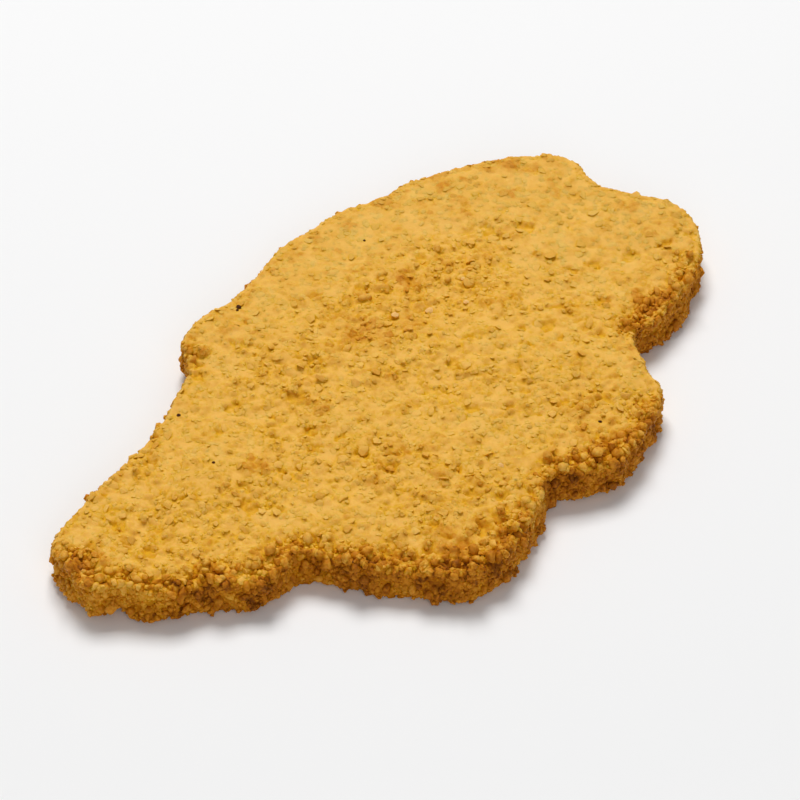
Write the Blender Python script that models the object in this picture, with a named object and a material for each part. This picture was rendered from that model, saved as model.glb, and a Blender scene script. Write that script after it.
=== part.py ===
"""A breaded schnitzel lying on a flat surface: one thin, uneven slab of meat in its crumb crust.

Run with: blender --background --python part.py
Metres, +Z up. The long axis lies along X with the narrow tail at -X, and the origin is the
middle of the base, on the surface that the schnitzel rests on.
"""

import math

import bmesh
import bpy
from mathutils import Vector, noise
from mathutils.geometry import delaunay_2d_cdt, interpolate_bezier

MM = 0.001

# Driving dimensions.
LENGTH = 190 * MM
EDGE_THICKNESS = 9.2 * MM
DOME_RISE = 2.0 * MM
DOME_RADIUS = 62 * MM
DOME_NARROWING = 1.6

# The rim's cross-section: a steep wall between tightly rounded edges. Squareness 2 would be a round bulge.
TOP_ROUNDING = 3.4 * MM
UNDER_ROUNDING = 3.0 * MM
RIM_SQUARENESS = 3.4
BELLY_SHARE = 0.55
WALL_STEPS = 8
INSET_STEPS = 8

# Mesh spacing.
RIM_SPACING = 3.3 * MM
TOP_SPACING = 3.3 * MM
UNDER_SPACING = 5.0 * MM
CURVE_STEPS = 24
# Sheet points keep this share of their spacing away from the rim.
RIM_CLEARANCE = 0.6
SHEET_TOLERANCE = 0.0001 * MM

# The edge seen from above, in millimetres, counter-clockwise, with only the points where it turns.
BROAD_END = [(84, 0), (84, 8), (88, 14), (84, 23)]
BACK_ARC = [(78, 28), (71, 34), (55, 44), (46, 45), (38, 50), (26, 52), (14, 53), (-7, 49)]
BACK_KNUCKLE = [(-18, 51), (-25, 49), (-33, 41)]
TAIL_BACK = [(-46, 36), (-68, 32), (-88, 31)]
TAIL_TIP = [(-97, 26), (-102, 12), (-98, 8)]
TAIL_FRONT = [(-93, -1), (-85, -7), (-78, -15), (-71, -17), (-64, -17)]
FRONT_LEFT_LOBE = [(-60, -28), (-54, -40), (-48, -50), (-38, -54)]
FRONT_HOLLOW = [(-20, -51), (-10, -47), (-4, -53)]
FRONT_RIGHT_LOBE = [(2, -57), (13, -56), (30, -51), (34, -44)]
NOTCH = [(42, -34), (49, -35)]
BROAD_CORNER = [(58, -35), (69, -33), (80, -28), (87, -21), (87, -12)]
EDGE = (
    BROAD_END
    + BACK_ARC
    + BACK_KNUCKLE
    + TAIL_BACK
    + TAIL_TIP
    + TAIL_FRONT
    + FRONT_LEFT_LOBE
    + FRONT_HOLLOW
    + FRONT_RIGHT_LOBE
    + NOTCH
    + BROAD_CORNER
)

# Where frying has curled the edge up off the surface: x, y, reach and height, in millimetres.
CURLS = [
    (-101, 15, 26, 0.8),
    (-44, -58, 26, 0.5),
    (4, -62, 26, 0.8),
    (92, -16, 30, 1.8),
    (86, 26, 26, 1.6),
    (-24, 55, 26, 1.8),
]
# Shallow hollows under the meat, which arches a little as it fries.
UNDER_HOLLOWS = [(34, 14, 24, 1.1), (-44, -6, 20, 0.9)]
# Where the top's edge falls away in a wider shoulder: x, y, reach and added width, in millimetres.
SHOULDERS = [(-82, -12, 34, 1.6), (-56, -42, 30, 1.4), (-30, -56, 22, 1.0)]
# Dents and swellings of the top: x, y, reach and height, in millimetres.
TOP_SWELLINGS = [
    (-97, 14, 30, 1.0),
    (-72, -18, 24, 0.9),
    (-46, -50, 24, 0.6),
    (4, -54, 24, 0.6),
    (-12, 22, 20, 0.8),
    (20, -30, 24, 0.9),
    (58, 22, 24, 0.7),
    (-62, 14, 22, 0.9),
    (-30, -34, 20, 0.8),
    (22, 10, 15, -1.1),
    (-2, -8, 13, -0.7),
    (-36, 14, 14, -0.9),
    (60, -14, 16, -0.8),
    (-80, 10, 12, -0.7),
]

# Fine unevenness from the crumb coat, as noise of a given size and depth.
EDGE_WOBBLE_SIZE = 8 * MM
EDGE_WOBBLE_DEPTH = 0.9 * MM
BROAD_RELIEF_SIZE = 26 * MM
BROAD_RELIEF_DEPTH = 0.8 * MM
LUMP_SIZE = 8 * MM
LUMP_DEPTH = 0.45 * MM

CRUST_COLOUR = (0.72, 0.38, 0.055, 1)
CRUST_ROUGHNESS = 0.68


def clear_scene():
    for obj in list(bpy.data.objects):
        bpy.data.objects.remove(obj)


def even_closed_curve(corners, spacing):
    """A smooth closed curve through the corners, as points a fixed distance apart."""
    fine = []
    for i, start in enumerate(corners):
        before, end, after = (corners[(i + k) % len(corners)] for k in (-1, 1, 2))
        leave = start + (end - before) / 6
        arrive = end - (after - start) / 6
        fine += interpolate_bezier(start, leave, arrive, end, CURVE_STEPS + 1)[:-1]
    travelled = [0.0]
    for i, point in enumerate(fine):
        travelled.append(travelled[-1] + (fine[(i + 1) % len(fine)] - point).length)
    count = round(travelled[-1] / spacing)
    points = []
    piece = 0
    for k in range(count):
        target = travelled[-1] * k / count
        while travelled[piece + 1] <= target:
            piece += 1
        share = (target - travelled[piece]) / (travelled[piece + 1] - travelled[piece])
        points.append(fine[piece].lerp(fine[(piece + 1) % len(fine)], share))
    return points


def outward(points):
    """The unit vector across a counter-clockwise closed line at each of its points, pointing out."""
    directions = []
    for i in range(len(points)):
        along = points[(i + 1) % len(points)] - points[i - 1]
        directions.append(Vector((along.y, -along.x)).normalized())
    return directions


def wobbled(points):
    """The edge made uneven, as clumps of crumbs make it."""
    moved = []
    for point, out in zip(points, outward(points)):
        place = Vector((*point, 0)) / EDGE_WOBBLE_SIZE
        moved.append(point + out * EDGE_WOBBLE_DEPTH * noise.noise(place))
    return moved


def inset(points, depths):
    """The closed line moved inwards in small steps, each smoothed so that tight corners don't cross."""
    for _ in range(INSET_STEPS):
        points = [p - out * depth / INSET_STEPS for p, out, depth in zip(points, outward(points), depths)]
        points = [
            p * 0.5 + (points[i - 1] + points[(i + 1) % len(points)]) * 0.25
            for i, p in enumerate(points)
        ]
    return points


def spots(places, point):
    """The sum of smooth round bumps, each exactly flat beyond its own reach."""
    total = 0.0
    for x, y, reach, height in places:
        share = 1 - ((point.x / MM - x) ** 2 + (point.y / MM - y) ** 2) / reach**2
        if share > 0:
            total += height * share * share
    return total * MM


def relief(point, size, depth):
    return depth * noise.noise(Vector((point.x, point.y, 0)) / size)


def base_height(point):
    return spots(CURLS, point)


def underside_height(point):
    return base_height(point) + spots(UNDER_HOLLOWS, point)


def top_height(point):
    dome = DOME_RISE * math.exp(-((point.x**2 + (DOME_NARROWING * point.y) ** 2) / DOME_RADIUS**2))
    uneven = relief(point, BROAD_RELIEF_SIZE, BROAD_RELIEF_DEPTH)
    uneven += relief(point, LUMP_SIZE, LUMP_DEPTH)
    return base_height(point) + EDGE_THICKNESS + dome + uneven + spots(TOP_SWELLINGS, point)


def wall_rings(edge, top_border, under_border):
    """The rim's closed lines from the underside's border, out round the belly, to the top's border."""
    rings = []
    for step in range(1, 2 * WALL_STEPS):
        turn = math.radians(90 * (step / WALL_STEPS - 1))
        across = math.cos(turn) ** (2 / RIM_SQUARENESS)
        rise = abs(math.sin(turn)) ** (2 / RIM_SQUARENESS)
        ring = []
        for out, above, below in zip(edge, top_border, under_border):
            low = underside_height(below)
            high = top_height(above)
            belly = low + BELLY_SHARE * (high - low)
            inner, height = (above, high) if turn > 0 else (below, low)
            flat = inner.lerp(out, across)
            lump = relief(flat, LUMP_SIZE, LUMP_DEPTH) * math.cos(turn) ** 2
            level = belly + rise * (height - belly) + lump
            ring.append(Vector((*flat, level)))
        rings.append(ring)
    return rings


def sheet(bm, border, spacing, height_at):
    """An even triangle sheet inside the border. Returns the edges of its border."""
    row_height = spacing * math.sqrt(3) / 2
    columns = math.ceil(LENGTH / spacing / 2)
    rows = math.ceil(LENGTH / row_height / 2)
    points = list(border)
    for row in range(-rows, rows + 1):
        for column in range(-columns, columns + 1):
            point = Vector(((column + row % 2 / 2) * spacing, row * row_height))
            if min((point - rim).length for rim in border) > RIM_CLEARANCE * spacing:
                points.append(point)
    closed = [(i, (i + 1) % len(border)) for i in range(len(border))]
    flat, _, faces, *_ = delaunay_2d_cdt(points, closed, [], 1, SHEET_TOLERANCE)
    used = sorted({corner for face in faces for corner in face})
    verts = {i: bm.verts.new((*flat[i], height_at(flat[i]))) for i in used}
    for face in faces:
        bm.faces.new([verts[i] for i in face])
    return [bm.edges.get((verts[a], verts[b])) for a, b in closed]


def ring_edges(bm, ring):
    verts = [bm.verts.new(point) for point in ring]
    return [bm.edges.new((verts[i - 1], verts[i])) for i in range(len(verts))]


def crust_material():
    material = bpy.data.materials.new("crumb_crust")
    material.use_nodes = True
    surface = material.node_tree.nodes["Principled BSDF"]
    surface.inputs["Base Color"].default_value = CRUST_COLOUR
    surface.inputs["Roughness"].default_value = CRUST_ROUGHNESS
    surface.inputs["Metallic"].default_value = 0
    return material


def schnitzel():
    corners = [Vector(corner) * MM for corner in EDGE]
    edge = wobbled(even_closed_curve(corners, RIM_SPACING))
    top_border = inset(edge, [TOP_ROUNDING + spots(SHOULDERS, point) for point in edge])
    under_border = inset(edge, [UNDER_ROUNDING] * len(edge))

    bm = bmesh.new()
    loops = [sheet(bm, under_border, UNDER_SPACING, underside_height)]
    loops += [ring_edges(bm, ring) for ring in wall_rings(edge, top_border, under_border)]
    loops.append(sheet(bm, top_border, TOP_SPACING, top_height))
    for lower, upper in zip(loops, loops[1:]):
        bmesh.ops.bridge_loops(bm, edges=lower + upper)
    bmesh.ops.recalc_face_normals(bm, faces=bm.faces)

    across = [vert.co.x for vert in bm.verts]
    deep = [vert.co.y for vert in bm.verts]
    scale = LENGTH / (max(across) - min(across))
    middle = Vector((max(across) + min(across), max(deep) + min(deep), 0)) / 2
    bmesh.ops.translate(bm, vec=-middle, verts=bm.verts)
    bmesh.ops.scale(bm, vec=(scale, scale, 1), verts=bm.verts)

    mesh = bpy.data.meshes.new("schnitzel")
    bm.to_mesh(mesh)
    bm.free()
    mesh.shade_smooth()
    mesh.materials.append(crust_material())
    obj = bpy.data.objects.new("schnitzel", mesh)
    bpy.context.scene.collection.objects.link(obj)
    return obj


clear_scene()
schnitzel()
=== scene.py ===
"""The looks of a breaded schnitzel: a fried meat slab in a crumb crust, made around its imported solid.

Metres, +Z up. The tail points to -X, and the slab lies on Z = 0.
"""

import math
import random

import bmesh
import bpy
import numpy as np
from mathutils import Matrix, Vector, bvhtree, kdtree, noise


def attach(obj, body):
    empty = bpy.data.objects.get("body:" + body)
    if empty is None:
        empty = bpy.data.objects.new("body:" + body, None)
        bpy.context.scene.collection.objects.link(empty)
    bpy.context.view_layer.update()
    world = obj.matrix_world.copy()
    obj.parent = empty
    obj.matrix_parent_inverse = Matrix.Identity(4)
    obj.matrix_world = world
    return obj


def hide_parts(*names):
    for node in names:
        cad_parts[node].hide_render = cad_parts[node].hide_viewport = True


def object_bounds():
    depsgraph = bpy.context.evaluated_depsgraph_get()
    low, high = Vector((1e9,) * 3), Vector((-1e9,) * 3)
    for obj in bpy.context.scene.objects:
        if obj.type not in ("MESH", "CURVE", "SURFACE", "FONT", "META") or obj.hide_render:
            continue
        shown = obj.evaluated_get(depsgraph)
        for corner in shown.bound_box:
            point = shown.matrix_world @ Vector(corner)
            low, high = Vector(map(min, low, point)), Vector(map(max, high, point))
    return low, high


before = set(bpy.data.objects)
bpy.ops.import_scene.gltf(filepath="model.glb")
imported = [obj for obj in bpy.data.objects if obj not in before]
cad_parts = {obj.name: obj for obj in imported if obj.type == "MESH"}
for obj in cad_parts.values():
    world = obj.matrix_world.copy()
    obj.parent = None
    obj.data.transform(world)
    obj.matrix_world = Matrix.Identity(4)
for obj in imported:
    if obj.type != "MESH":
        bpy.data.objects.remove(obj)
packed_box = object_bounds()
MM = 0.001

# ---------------------------------------------------------------------------
# The crust: the egg-and-crumb coat that fries onto the meat slab as one skin. It follows the packed
# solid and is shaped into packed crumbs, with pits where crumbs came away in the pan.
# ---------------------------------------------------------------------------
CRUST_VOXEL = 0.52 * MM
FACET_SMOOTHING = 6
CRUST_TRIANGLES = 195000
# Below this height the crumbs are squeezed together, so that none goes through the surface below, and
# the thinning of the underside takes none of them lower than LOWEST.
SQUEEZED_BELOW = 0.4 * MM
LOWEST = 0.02 * MM
# Points whose normal points down more than this are on the underside, which is thinned to save
# triangles, and those whose normal is this near to level are on the belly of the rim.
UNDERSIDE_NORMAL = -0.7
BELLY_NORMAL = 0.25

# The sizes of what the coat is packed from, and of the pits where crumbs came away.
CLUMP_SIZE = 3.9 * MM
CRUMB_SIZE = 1.6 * MM
PIT_SIZE = 4.2 * MM
# How far their outlines are shaken out of shape.
WIDE_SHAKE = 0.55 * MM
FINE_SHAKE = 0.2 * MM
# How high they stand where the coat is pressed flat, and how much more where it is loose, in
# millimetres.
CLUMP_HEIGHT = (0.12, 1.15)
CRUMB_HEIGHT = (0.3, 0.85)
PIT_DEPTH = 0.75
# What else moves the coat out from the slab, in millimetres: its unevenness, the front's shoulder, its
# ragged lower edge, the rounding all round, the front's wall and the foot of that wall.
UNEVEN_LIFT = 0.35
SHOULDER_LIFT = 0.25
RAGGED_LIFT = 1.6
ROUNDED_LIFT = 0.6
WALL_LIFT = 0.2
FOOT_LIFT = 0.8
# How browned the coat is from 0 to 1: everywhere and more on the underside, with painted shade in the
# gaps and pits as darker browning.
EVEN_TOAST = 0.25
UNDER_TOAST = 0.2
GAP_PAINTED_SHADE = 0.3
PIT_PAINTED_SHADE = 0.08

# The side of the slab where its crumbs stand loosest, as a direction on the plan.
FRONT = Vector((-0.79, -0.61, 0))
# Where the fat browned the top more: x, y, reach in millimetres and strength.
BROWNED_SPOTS = [
    (32, 22, 6, 0.2),
    (43, 20, 5, 0.16),
    (14, 14, 9, 0.28),
    (22, 11, 7, 0.26),
    (9, 19, 7, 0.24),
    (-2, 3, 6, 0.16),
    (-18, 9, 5, 0.16),
    (-40, 10, 7, 0.14),
    (55, 14, 9, 0.12),
    (72, 20, 7, 0.1),
    (62, -28, 8, 0.3),
    (46, -35, 6, 0.3),
    (16, -46, 8, 0.22),
    (-34, -46, 18, 0.24),
    (-89, 20, 8, 0.14),
]
# Pits where a clump of crumbs came away: x, y, reach and depth in millimetres.
CLUMP_PITS = [
    (32, 22, 3.0, 0.7),
    (55, 21, 2.6, 0.5),
    (51, 6, 2.4, 0.45),
    (25, 13, 2.6, 0.5),
    (18, 17, 2.4, 0.5),
]
# Where the coat has broken off the lower edge: x, y, z, reach and depth in millimetres.
BROKEN_EDGES = [
    (-92.0, 9.6, 0.5, 4, 7),
    (-70, -14, 1, 4, 1.8),
    (-3, -51, 1, 4, 1.6),
    (50, -34, 1, 4, 1.8),
]
# Where the coat lies looser than elsewhere, or more pressed if the strength is below 0: x, y, reach in
# millimetres and strength.
LOOSER_SPOTS = [
    (27, 12, 34, 0.16),
    (10, -12, 24, 0.12),
    (-78, 12, 22, 0.1),
    (72, -8, 34, -0.3),
    (40, 44, 30, -0.2),
]


def smooth_step(low, high, value):
    share = min(1.0, max(0.0, (value - low) / (high - low)))
    return share * share * (3 - 2 * share)


def spots(places, point):
    """The sum of smooth round bumps about places on the plan."""
    total = 0.0
    for x, y, reach, strength in places:
        share = 1 - ((point.x / MM - x) ** 2 + (point.y / MM - y) ** 2) / reach**2
        if share > 0:
            total += strength * share * share
    return total


def squeezed(height):
    """The height above the surface below, eased so that it never reaches 0."""
    if height > SQUEEZED_BELOW:
        return height
    return SQUEEZED_BELOW * math.exp(height / SQUEEZED_BELOW - 1)


def as_object(bm, name):
    mesh = bpy.data.meshes.new(name)
    bm.to_mesh(mesh)
    bm.free()
    obj = bpy.data.objects.new(name, mesh)
    bpy.context.scene.collection.objects.link(obj)
    return obj


def made_real(obj):
    """The object's modifiers applied, so that its mesh is what shows."""
    graph = bpy.context.evaluated_depsgraph_get()
    mesh = bpy.data.meshes.new_from_object(obj.evaluated_get(graph))
    obj.modifiers.clear()
    obj.data = mesh
    mesh.name = obj.name


def crumb_at(point, size):
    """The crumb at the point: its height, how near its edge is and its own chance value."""
    distances, centres = noise.voronoi(point / size)
    chance = noise.cell(centres[0] * 37.7)
    inward = distances[1] - distances[0]
    height = smooth_step(-0.05, 0.45, inward) * (0.5 + chance)
    return height, 1 - smooth_step(0, 0.35, inward), chance


# Without a seed, noise_vector differs from run to run.
noise.seed_set(1)

bm = bmesh.new()
bm.from_mesh(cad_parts["schnitzel"].data)
bmesh.ops.remove_doubles(bm, verts=bm.verts, dist=0.01 * MM)
crust = as_object(bm, "crust")
rounding = crust.modifiers.new("rounding", "SUBSURF")
rounding.levels = rounding.render_levels = 1
even = crust.modifiers.new("even", "REMESH")
even.mode = "VOXEL"
even.voxel_size = CRUST_VOXEL
soften = crust.modifiers.new("soften", "SMOOTH")
soften.factor = 0.5
soften.iterations = FACET_SMOOTHING
made_real(crust)

bm = bmesh.new()
bm.from_mesh(crust.data)
bm.normal_update()
loose_layer = bm.verts.layers.float.new("loose")
browning_and_shade_layer = bm.verts.layers.float.new("toast")
hollow_layer = bm.verts.layers.float.new("hollow")
belly = [vert for vert in bm.verts if abs(vert.normal.z) < BELLY_NORMAL]
rim_line = kdtree.KDTree(len(belly))
for i, vert in enumerate(belly):
    rim_line.insert((vert.co.x, vert.co.y, 0), i)
rim_line.balance()

moves = []
for vert in bm.verts:
    # Where on the slab the point lies, mostly as shares from 0 to 1.
    place = vert.co
    upward = vert.normal.z
    level = abs(upward)
    _, nearest, distance = rim_line.find((place.x, place.y, 0))
    facing = belly[nearest].normal.dot(FRONT)
    front = smooth_step(-0.2, 0.6, facing)
    pressed = smooth_step(0.1, 0.6, -facing) * smooth_step(32 * MM, 10 * MM, distance)
    pressed *= smooth_step(-34 * MM, -14 * MM, place.x)
    uneven = 1 + 0.5 * noise.noise(place / (9 * MM) + Vector((2, 9, 4)))
    tail = smooth_step(-40 * MM, -60 * MM, place.x)
    tip = smooth_step(-78 * MM, -90 * MM, place.x)
    band = (3 + 9 * front) * MM * uneven
    rim = 1 - smooth_step(0.1 * band, band, distance)
    steep = 1 - smooth_step(0.2, 0.8, level)
    side = smooth_step(0.55, 0.25, level)
    rounded = smooth_step(0.98, 0.75, level)
    foot = smooth_step(5 * MM, 1.5 * MM, place.z) * smooth_step(-0.97, -0.7, upward)
    shoulder = smooth_step(0.15, 0.45, upward) * smooth_step(0.98, 0.8, upward)
    ridge = smooth_step(0.25, 0.5, upward) * smooth_step(0.97, 0.85, upward)
    wall = smooth_step(0.5, 0.3, upward + 0.12 * noise.noise(place / (2.5 * MM)))
    under = smooth_step(0.2, 0.8, -upward)

    # How loosely the crumbs lie there.
    coarse = max(rim * (0.3 + 0.7 * max(front, 0.4 * tail)), 0.5 * steep, 0.9 * side)
    loose = 0.3 + 0.2 * noise.noise(place / (22 * MM)) - 0.25 * pressed + spots(LOOSER_SPOTS, place)
    loose = max(0.0, coarse, loose) * (1 - 0.25 * wall * (1 - under))

    # The clump, the crumb and the pit that the point is in.
    shake = noise.noise_vector(place / (1.6 * MM)) * WIDE_SHAKE
    shake += noise.noise_vector(place / (0.8 * MM) + Vector((4, 4, 4))) * FINE_SHAKE
    clump_top, clump_gap, clump_chance = crumb_at(place + shake, CLUMP_SIZE)
    crumb_place = place + shake * 0.7 + Vector((3, 1, 2)) * MM
    crumb_top, crumb_gap, crumb_chance = crumb_at(crumb_place, CRUMB_SIZE)
    pit_top, _, pit_chance = crumb_at(place + shake * 1.3 + Vector((5, 8, 3)) * MM, PIT_SIZE)
    rarity = 0.62 - 0.5 * noise.noise(place / (15 * MM) + Vector((1, 1, 8))) + 0.2 * pressed
    pit = smooth_step(0.3, 1.0, pit_top) * smooth_step(rarity, rarity + 0.2, pit_chance)
    pit *= 1 - 0.4 * pressed
    clump_pit = spots(CLUMP_PITS, place) if upward > 0.5 else 0
    broken = 0.0
    for x, y, z, reach, depth in BROKEN_EDGES:
        share = 1 - (place - Vector((x, y, z)) * MM).length_squared / (reach * MM) ** 2
        if share > 0:
            broken += depth * share * share

    # How far all of that moves the point out, in millimetres.
    broad = noise.noise(place / (17 * MM))
    middling = noise.noise(place / (6 * MM) + Vector((7, 3, 1)))
    ragged = noise.noise(place / (4.5 * MM) + Vector((6, 2, 9)))
    ragged = ragged * smooth_step(6 * MM, 2 * MM, place.z) * (1 - under)
    lift = UNEVEN_LIFT * middling * (1 - 0.5 * pressed) - PIT_DEPTH * pit - clump_pit - broken
    lift += SHOULDER_LIFT * front * shoulder
    out = RAGGED_LIFT * front * ragged + ROUNDED_LIFT * rounded
    lift += out + WALL_LIFT * wall * front + FOOT_LIFT * front * foot
    calm = 1 - 0.3 * steep - 0.45 * (1 - front) * ridge
    for top, (pressed_height, loose_height) in ((clump_top, CLUMP_HEIGHT), (crumb_top, CRUMB_HEIGHT)):
        lift += (pressed_height + loose_height * loose) * calm * (top - 0.5)
    lift *= 1 - 0.35 * under
    moves.append(vert.normal * (lift * MM))

    # How browned it is, with painted shade browning the gaps, the pits and the front walls darker, and
    # how deep it lies between the crumbs.
    browned = spots(BROWNED_SPOTS, place) if upward > 0.3 else 0
    chance = 0.1 * (clump_chance - 0.5) + 0.14 * (crumb_chance - 0.5)
    gap = 0.4 * crumb_gap * (0.3 + loose) + 0.6 * loose * clump_gap
    back_edge = smooth_step(8 * MM, 1 * MM, distance) * (1 - front)
    toast = EVEN_TOAST + 0.09 * broad + 0.1 * middling + chance
    toast += browned * (1 + middling) + 0.25 * max(0.0, 0.3 - loose)
    # Painted shade: the steep rim and walls on the front, which face away from the key light, are
    # browned darker than the rest; the walls all round are browned a little.
    toast += (0.04 * rim + 0.1 * steep) * front + UNDER_TOAST * under
    toast += wall * (1 - under) * (0.13 + 0.25 * front) * (1 - 0.4 * tip)
    # Painted shade: the gaps between the crumbs, most of all in the loose rim at the front, and the
    # pits are browned darker where shade falls in them.
    toast += 0.05 * back_edge + (GAP_PAINTED_SHADE + 0.25 * rim * front) * loose * gap * (1 - 0.7 * wall)
    toast += PIT_PAINTED_SHADE * pit
    vert[loose_layer] = loose
    vert[browning_and_shade_layer] = toast
    vert[hollow_layer] = gap + pit + clump_pit
underside = [vert.index for vert in bm.verts if vert.normal.z < UNDERSIDE_NORMAL]
for vert, move in zip(bm.verts, moves):
    vert.co += move
    vert.co.z = squeezed(vert.co.z)
triangles = sum(len(face.verts) - 2 for face in bm.faces)
bm.to_mesh(crust.data)
bm.free()
crust.vertex_groups.new(name="underside").add(underside, 1, "REPLACE")
thinned = crust.modifiers.new("thinned", "DECIMATE")
thinned.ratio = CRUST_TRIANGLES / triangles
thinned.vertex_group = "underside"
made_real(crust)
for vert in crust.data.vertices:
    vert.co.z = max(vert.co.z, LOWEST)
crust.data.shade_smooth()


def link(tree, out, into):
    tree.links.new(out, into)


def noise_pattern(tree, size, detail=2.0, roughness=0.5, shift=(0, 0, 0)):
    """Noise with features of about that size in metres, on the piece's own Object coordinates."""
    where = tree.nodes.new("ShaderNodeTexCoord")
    moved = tree.nodes.new("ShaderNodeMapping")
    moved.inputs["Location"].default_value = shift
    moved.inputs["Scale"].default_value = (1 / size,) * 3
    pattern = tree.nodes.new("ShaderNodeTexNoise")
    pattern.inputs["Scale"].default_value = 1
    pattern.inputs["Detail"].default_value = detail
    pattern.inputs["Roughness"].default_value = roughness
    link(tree, where.outputs["Object"], moved.inputs["Vector"])
    link(tree, moved.outputs["Vector"], pattern.inputs["Vector"])
    return pattern.outputs["Fac"]


def held(tree, name):
    """A value that the mesh holds at each point."""
    node = tree.nodes.new("ShaderNodeAttribute")
    node.attribute_name = name
    return node.outputs["Fac"]


def calculated(tree, operation, *terms):
    node = tree.nodes.new("ShaderNodeMath")
    node.operation = operation
    for socket, term in zip(node.inputs, terms):
        if isinstance(term, (int, float)):
            socket.default_value = term
        else:
            link(tree, term, socket)
    return node.outputs["Value"]


def ramp(tree, value, stops):
    node = tree.nodes.new("ShaderNodeValToRGB")
    elements = node.color_ramp.elements
    while len(elements) < len(stops):
        elements.new(1)
    for element, (place, colour) in zip(elements, stops):
        element.position = place
        element.color = (*colour, 1)
    link(tree, value, node.inputs["Fac"])
    return node.outputs["Color"]


# Fried crumb from palest to darkest, as linear colours.
PALE_CRUMB = (0.87, 0.492, 0.1)
GOLD_CRUMB = (0.8, 0.428, 0.066)
AMBER_CRUMB = (0.66, 0.265, 0.018)
BROWN_CRUMB = (0.46, 0.15, 0.006)
DARK_CRUMB = (0.2, 0.055, 0.004)
FRYING_STOPS = [
    (0.0, PALE_CRUMB),
    (0.28, GOLD_CRUMB),
    (0.55, AMBER_CRUMB),
    (0.8, BROWN_CRUMB),
    (1.0, DARK_CRUMB),
]
# What the frying fat between the crumbs does to their colour; the same tint also paints shade,
# deepening in crevices, hollows and at each crumb's foot.
FAT_AND_SHADE_TINT = (0.9, 0.855, 0.08)
# The sizes of the material's own patterns, from clouds of fat down to the grain of a crumb's face.
CLOUD_SIZE = 5 * MM
SHEEN_SIZE = 1.6 * MM
SPECKLE_SIZE = 0.9 * MM
CRUMBLE_SIZE = 0.55 * MM
CRUMBLE_DEPTH = 0.2 * MM
CREVICE_REACH = 1.3 * MM
FRIED_LIGHT_DEPTH = 0.6 * MM


def fried_material(name, fat_and_shade, fat_and_shade_terms, stops=FRYING_STOPS):
    """Fried crumb with painted shade in its crevices. The list of shades names values that the mesh
    holds, each with how much it adds to the tint of fat and painted shade.
    """
    material = bpy.data.materials.new(name)
    material.use_nodes = True
    tree = material.node_tree
    surface = tree.nodes["Principled BSDF"]
    speckle = calculated(tree, "SUBTRACT", noise_pattern(tree, SPECKLE_SIZE, 3), 0.5)
    cloud = noise_pattern(tree, CLOUD_SIZE, 3, shift=(3, 8, 1))
    cloud = calculated(tree, "SUBTRACT", cloud, 0.5)
    speckled = calculated(tree, "MULTIPLY_ADD", held(tree, "loose"), 0.75, 0.1)
    toast = calculated(tree, "MULTIPLY_ADD", speckle, speckled, held(tree, "toast"))
    toast = calculated(tree, "MULTIPLY_ADD", cloud, 0.2, toast)
    toast = calculated(tree, "MULTIPLY_ADD", held(tree, "tone"), 0.16, toast)
    # Painted shade: where ambient occlusion finds a crevice, the colour is browned darker and the fat
    # tint deepens.
    crevice = tree.nodes.new("ShaderNodeAmbientOcclusion")
    crevice.samples = 6
    crevice.inputs["Distance"].default_value = CREVICE_REACH
    crevice = calculated(tree, "SUBTRACT", 0.9, crevice.outputs["AO"])
    toast = calculated(tree, "MULTIPLY_ADD", crevice, 0.12, toast)
    fat_and_shade = calculated(tree, "MULTIPLY_ADD", crevice, 5, fat_and_shade)
    for attribute, depth in fat_and_shade_terms:
        fat_and_shade = calculated(tree, "MULTIPLY_ADD", held(tree, attribute), depth, fat_and_shade)
    fat_and_shade = calculated(tree, "MULTIPLY_ADD", speckle, 1.6, fat_and_shade)
    fat_and_shade = calculated(tree, "MULTIPLY_ADD", cloud, 1.9, fat_and_shade)
    tint = ramp(tree, fat_and_shade, [(0.0, (1, 1, 1)), (1.0, FAT_AND_SHADE_TINT)])
    tinted = tree.nodes.new("ShaderNodeMix")
    tinted.data_type = "RGBA"
    tinted.blend_type = "MULTIPLY"
    tinted.inputs["Factor"].default_value = 1
    shown, under = [socket for socket in tinted.inputs if socket.enabled and socket.type == "RGBA"]
    link(tree, ramp(tree, toast, stops), shown)
    link(tree, tint, under)
    link(tree, [socket for socket in tinted.outputs if socket.enabled][0], surface.inputs["Base Color"])

    sheen = noise_pattern(tree, SHEEN_SIZE, 2, shift=(5, 5, 5))
    link(tree, calculated(tree, "MULTIPLY_ADD", sheen, 0.3, 0.45), surface.inputs["Roughness"])
    crumbly = tree.nodes.new("ShaderNodeBump")
    crumbly.inputs["Strength"].default_value = 0.6
    crumbly.inputs["Distance"].default_value = CRUMBLE_DEPTH
    link(tree, noise_pattern(tree, CRUMBLE_SIZE, 3, 0.6), crumbly.inputs["Height"])
    link(tree, crumbly.outputs["Normal"], surface.inputs["Normal"])
    surface.inputs["Specular IOR Level"].default_value = 0.1
    surface.inputs["Subsurface Weight"].default_value = 0.5
    surface.inputs["Subsurface Radius"].default_value = (1.0, 0.8, 0.6)
    surface.inputs["Subsurface Scale"].default_value = FRIED_LIGHT_DEPTH
    return material


crust.data.materials.clear()
# The hollows get a deeper tint: painted shade between the crumbs and in the pits.
crust.data.materials.append(fried_material("fried_crust", 0.25, [("hollow", 0.6)]))
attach(crust, "root")
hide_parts("schnitzel")

# ---------------------------------------------------------------------------
# The crumbs: dry bread grated to grains of 1 to 3 mm, pressed into the coat and fried with it. They
# are flattened where the slab lay against the pan and stand proud round the rim.
# ---------------------------------------------------------------------------
CRUMB_KINDS = 12
# How much of a crumb's half height lies in the coat.
SUNK_SHARE = 0.22
# A crumb's corners start evenly spread over a ball, and then each moves sideways and out or in.
GOLDEN_ANGLE = math.pi * (3 - math.sqrt(5))
CORNER_SPREAD = 0.22
CORNER_REACH = (0.72, 1.15)
# How strongly small crumbs outnumber large ones. At 1 all sizes are equally common.
SMALLNESS = 1.6


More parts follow.
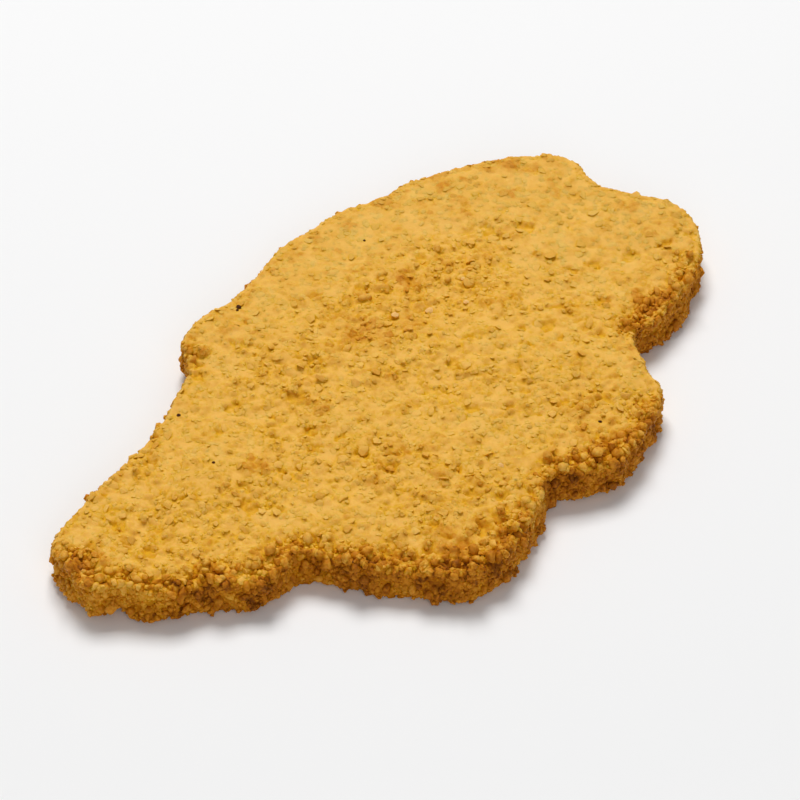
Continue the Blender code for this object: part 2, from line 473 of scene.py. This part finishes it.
def crumb_shapes(name, corners, seed, rounded):
    """A collection of loose crumb shapes of radius about 1, each a hull round a few uneven corners."""
    chance = random.Random(seed)
    shapes = bpy.data.collections.new(name)
    for kind in range(CRUMB_KINDS):
        bm = bmesh.new()
        for i in range(corners):
            level = 1 - (2 * i + 1) / corners
            across = math.sqrt(1 - level**2)
            turn = i * GOLDEN_ANGLE
            way = Vector((across * math.cos(turn), across * math.sin(turn), level))
            way += Vector([chance.gauss(0, CORNER_SPREAD) for _ in range(3)])
            bm.verts.new(way.normalized() * chance.uniform(*CORNER_REACH))
        hull = bmesh.ops.convex_hull(bm, input=bm.verts)
        left_over = hull["geom_interior"] + hull["geom_unused"]
        inside = {part for part in left_over if isinstance(part, bmesh.types.BMVert)}
        bmesh.ops.delete(bm, geom=list(inside), context="VERTS")
        for face in bm.faces:
            face.smooth = rounded
        # Each corner's height, which the material uses to paint shade as a deeper tint at the crumb's
        # foot.
        crest = bm.verts.layers.float.new("crest")
        for vert in bm.verts:
            vert[crest] = vert.co.z
            vert.co.z -= SUNK_SHARE
        mesh = bpy.data.meshes.new(f"{name}_{kind}")
        bm.to_mesh(mesh)
        bm.free()
        shapes.objects.link(bpy.data.objects.new(mesh.name, mesh))
    return shapes


def scattered(name, shapes, spacing, density, radius, flatness, where, seed):
    """Crumbs scattered over the crust as one mesh, as thick as the crust's value called where."""
    host = bpy.data.objects.new(name, crust.data.copy())
    bpy.context.scene.collection.objects.link(host)
    tree = bpy.data.node_groups.new(name, "GeometryNodeTree")
    tree.interface.new_socket("Geometry", in_out="INPUT", socket_type="NodeSocketGeometry")
    tree.interface.new_socket("Geometry", in_out="OUTPUT", socket_type="NodeSocketGeometry")

    def node(kind, **settings):
        made = tree.nodes.new(kind)
        for setting, value in settings.items():
            setattr(made, setting, value)
        return made

    def random_value(kind, low, high, shift):
        made = node("FunctionNodeRandomValue", data_type=kind)
        sockets = [s for s in made.inputs if s.enabled]
        sockets[0].default_value = low
        sockets[1].default_value = high
        made.inputs["Seed"].default_value = seed + shift
        return [s for s in made.outputs if s.enabled][0]

    def named(attribute):
        made = node("GeometryNodeInputNamedAttribute", data_type="FLOAT")
        made.inputs["Name"].default_value = attribute
        return made.outputs["Attribute"]

    def vector(*terms):
        made = node("ShaderNodeCombineXYZ")
        for socket, term in zip(made.inputs, terms):
            if isinstance(term, (int, float)):
                socket.default_value = term
            else:
                link(tree, term, socket)
        return made.outputs["Vector"]

    start = node("NodeGroupInput")
    end = node("NodeGroupOutput")
    spread = node("GeometryNodeDistributePointsOnFaces", distribute_method="POISSON")
    spread.inputs["Distance Min"].default_value = spacing
    spread.inputs["Density Max"].default_value = density
    spread.inputs["Seed"].default_value = seed
    link(tree, start.outputs["Geometry"], spread.inputs["Mesh"])
    link(tree, named(where), spread.inputs["Density Factor"])

    kinds = node("GeometryNodeCollectionInfo")
    kinds.inputs["Collection"].default_value = shapes
    kinds.inputs["Separate Children"].default_value = True
    kinds.inputs["Reset Children"].default_value = True
    placed = node("GeometryNodeInstanceOnPoints")
    placed.inputs["Pick Instance"].default_value = True
    link(tree, spread.outputs["Points"], placed.inputs["Points"])
    link(tree, kinds.outputs["Instances"], placed.inputs["Instance"])
    link(tree, random_value("INT", 0, CRUMB_KINDS - 1, 1), placed.inputs["Instance Index"])

    # A loose crumb leans any way and stands high, and a pressed one lies flat.
    lean = calculated(tree, "MULTIPLY_ADD", named("loose"), 0.6, 0.03)
    lean_x = calculated(tree, "MULTIPLY", lean, random_value("FLOAT", -1, 1, 2))
    lean_y = calculated(tree, "MULTIPLY", lean, random_value("FLOAT", -1, 1, 6))
    spin = node("FunctionNodeRotateRotation", rotation_space="LOCAL")
    link(tree, spread.outputs["Rotation"], spin.inputs["Rotation"])
    turn = random_value("FLOAT", -math.pi, math.pi, 7)
    link(tree, vector(lean_x, lean_y, turn), spin.inputs["Rotate By"])
    link(tree, spin.outputs["Rotation"], placed.inputs["Rotation"])

    size = calculated(tree, "POWER", random_value("FLOAT", 0, 1, 3), SMALLNESS)
    size = calculated(tree, "MULTIPLY_ADD", size, radius[1] - radius[0], radius[0])
    proud = calculated(tree, "MULTIPLY_ADD", named("loose"), flatness[1] - flatness[0], flatness[0])
    stretch = calculated(tree, "MULTIPLY", size, random_value("FLOAT", 0.6, 1.0, 4))
    link(tree, vector(size, stretch, calculated(tree, "MULTIPLY", size, proud)), placed.inputs["Scale"])

    toned = node("GeometryNodeStoreNamedAttribute", data_type="FLOAT", domain="INSTANCE")
    toned.inputs["Name"].default_value = "tone"
    link(tree, placed.outputs["Instances"], toned.inputs["Geometry"])
    link(tree, random_value("FLOAT", -0.5, 0.5, 5), toned.inputs["Value"])
    real = node("GeometryNodeRealizeInstances")
    link(tree, toned.outputs["Geometry"], real.inputs["Geometry"])
    link(tree, real.outputs["Geometry"], end.inputs["Geometry"])

    host.modifiers.new("crumbs", "NODES").node_group = tree
    made_real(host)
    host.data.materials.clear()
    for vert in host.data.vertices:
        vert.co.z = squeezed(vert.co.z)
    return host


def smooth_steps(low, high, values):
    """smooth_step for a whole array of values."""
    share = np.clip((values - low) / (high - low), 0, 1)
    return share * share * (3 - 2 * share)


def held_by_crust(attribute):
    values = np.empty(len(crust.data.vertices), np.float32)
    crust.data.attributes[attribute].data.foreach_get("value", values)
    return values


normals = np.empty(len(crust.data.vertices) * 3, np.float32)
crust.data.vertex_normals.foreach_get("vector", normals)
upward = normals.reshape(-1, 3)[:, 2]
loose = held_by_crust("loose")
full = smooth_steps(1.4, 0.6, held_by_crust("hollow"))
# How thick the crumbs lie on each part of the crust, from 0 to 1.
for name, shares in (
    ("on_top", smooth_steps(0.45, 0.75, upward) * full * (0.5 + 0.5 * smooth_steps(0.35, 0.85, loose))),
    ("on_rim", smooth_steps(0.8, 0.5, np.abs(upward))),
    ("near_rim", smooth_steps(-0.3, 0.1, upward) * smooth_steps(0.4, 0.9, loose)),
    ("on_base", smooth_steps(-0.35, -0.7, upward)),
):
    shares = np.clip(shares, 0, 1).astype(np.float32)
    crust.data.attributes.new(name, "FLOAT", "POINT").data.foreach_set("value", shares)

small_flakes = crumb_shapes("small_flake", 12, 0, rounded=False)
large_flakes = crumb_shapes("large_flake", 18, 40, rounded=False)
small_crumbs = crumb_shapes("small_crumb", 12, 0, rounded=True)
large_crumbs = crumb_shapes("large_crumb", 18, 40, rounded=True)
# Painted shade: the hollows and each crumb's foot get a deeper tint than its crest; the tone varies at
# random from crumb to crumb.
crumb_skin = fried_material("fried_crumb", 0.3, [("hollow", 0.4), ("tone", 0.5), ("crest", -0.25)])
# Each kind: least spacing, most to a square metre, radius from small to large, height for its width
# where the coat is pressed and where it is loose, where it lies, and the seed of its scatter.
for name, shapes, spacing, density, radius, flatness, where, seed in (
    ("fine_top_crumbs", small_flakes, 0.95 * MM, 8e5, (0.5 * MM, 1.0 * MM), (0.08, 0.7), "on_top", 11),
    ("top_crumbs", large_flakes, 1.6 * MM, 3e5, (0.8 * MM, 1.7 * MM), (0.08, 0.5), "on_top", 13),
    ("rim_crumbs", small_crumbs, 0.8 * MM, 12e5, (0.45 * MM, 0.9 * MM), (0.4, 0.8), "on_rim", 23),
    ("base_crumbs", small_crumbs, 1.5 * MM, 5e5, (0.5 * MM, 1.0 * MM), (0.4, 0.6), "on_base", 37),
    ("coarse_crumbs", large_crumbs, 1.6 * MM, 3e5, (0.9 * MM, 1.9 * MM), (0.3, 0.7), "near_rim", 51),
):
    crumbs = scattered(name, shapes, spacing, density, radius, flatness, where, seed)
    crumbs.data.materials.append(crumb_skin)
    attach(crumbs, "root")

# ---------------------------------------------------------------------------
# The specks: single grains of the coat that burnt nearly black in the pan, and others that stayed
# pale because the fat missed them. Each is half sunk in the crust.
# ---------------------------------------------------------------------------
BURNT_STOPS = [(0.0, (0.07, 0.02, 0.004)), (0.25, (0.2, 0.06, 0.01))]
PALE_STOPS = [(0.0, (0.85, 0.5, 0.17)), (0.25, (0.83, 0.46, 0.11))]
crust_surface = bvhtree.BVHTree.FromPolygons(
    [vert.co for vert in crust.data.vertices], [face.vertices for face in crust.data.polygons]
)
# Each place is x, y and the grain's radius, in millimetres.
BURNT_PLACES = [
    (-1, 48, 0.7),
    (-2, 47.6, 0.4),
    (-39, 35, 0.5),
    (-47, 18, 0.4),
    (38, 40, 0.35),
    (19, -44, 0.45),
]
PALE_PLACES = [(19, 16, 0.9), (26, 11, 1.1), (34, 6, 0.8), (41, 12, 0.8), (-8, -35, 0.9)]
for name, stops, places in (
    ("burnt_specks", BURNT_STOPS, BURNT_PLACES),
    ("pale_grains", PALE_STOPS, PALE_PLACES),
):
    bm = bmesh.new()
    for x, y, radius in places:
        spot, _, _, _ = crust_surface.ray_cast(Vector((x * MM, y * MM, 1)), Vector((0, 0, -1)))
        grain = bmesh.ops.create_icosphere(bm, subdivisions=2, radius=radius * MM)["verts"]
        for vert in grain:
            vert.co *= 1 + 0.45 * noise.noise(vert.co / (0.7 * MM) + Vector((x, y, 0)))
            vert.co.z *= 0.6
            vert.co += spot
    grains = as_object(bm, name)
    grains.data.materials.append(fried_material(name, 0, [], stops))
    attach(grains, "root")

# ---------------------------------------------------------------------------
# The studio: a pale floor and plain soft light from behind on the left, with a weak fill. The camera
# looks down across the slab from the side of its tail.
# ---------------------------------------------------------------------------
CAMERA_BEARING = math.radians(-52.6)
CAMERA_ELEVATION = math.radians(42)
CAMERA_DISTANCE = 0.9
CAMERA_LENS = 172


def direction(bearing, elevation):
    """Towards a place round the object: bearing 0 is in front, along -Y."""
    level = math.cos(elevation)
    return Vector((math.sin(bearing) * level, -math.cos(bearing) * level, math.sin(elevation)))


def pointed(obj, place, target):
    obj.location = place
    obj.rotation_mode = "QUATERNION"
    obj.rotation_quaternion = (target - place).to_track_quat("-Z", "Y")
    bpy.context.scene.collection.objects.link(obj)


middle = (packed_box[0] + packed_box[1]) / 2
camera = bpy.data.objects.new("camera", bpy.data.cameras.new("camera"))
camera.data.lens = CAMERA_LENS
camera.data.sensor_width = 36
camera.data.clip_start = 0.01
pointed(camera, middle + direction(CAMERA_BEARING, CAMERA_ELEVATION) * CAMERA_DISTANCE, middle)
bpy.context.scene.camera = camera

# Each lamp's bearing from the camera's and its elevation in degrees, its distance and width in
# metres, and its watts.
for name, turn, rise, distance, size, power in (
    ("key", -170, 60, 2.0, 0.9, 32),
    ("fill", 8, 32, 1.2, 0.9, 3.4),
):
    lamp = bpy.data.objects.new(name, bpy.data.lights.new(name, "AREA"))
    lamp.data.size = size
    lamp.data.energy = power
    way = direction(CAMERA_BEARING + math.radians(turn), math.radians(rise))
    pointed(lamp, middle + way * distance, middle)

world = bpy.data.worlds.new("studio")
world.use_nodes = True
background = world.node_tree.nodes["Background"]
background.inputs["Color"].default_value = (1, 1, 1, 1)
background.inputs["Strength"].default_value = 0.22
bpy.context.scene.world = world
bpy.context.scene.view_settings.view_transform = "Standard"

bm = bmesh.new()
bmesh.ops.create_grid(bm, x_segments=2, y_segments=2, size=4)
floor = as_object(bm, "floor")
floor_paint = bpy.data.materials.new("floor_paint")
floor_paint.use_nodes = True
paint = floor_paint.node_tree.nodes["Principled BSDF"]
paint.inputs["Base Color"].default_value = (0.93, 0.93, 0.93, 1)
paint.inputs["Roughness"].default_value = 0.9
floor.data.materials.append(floor_paint)
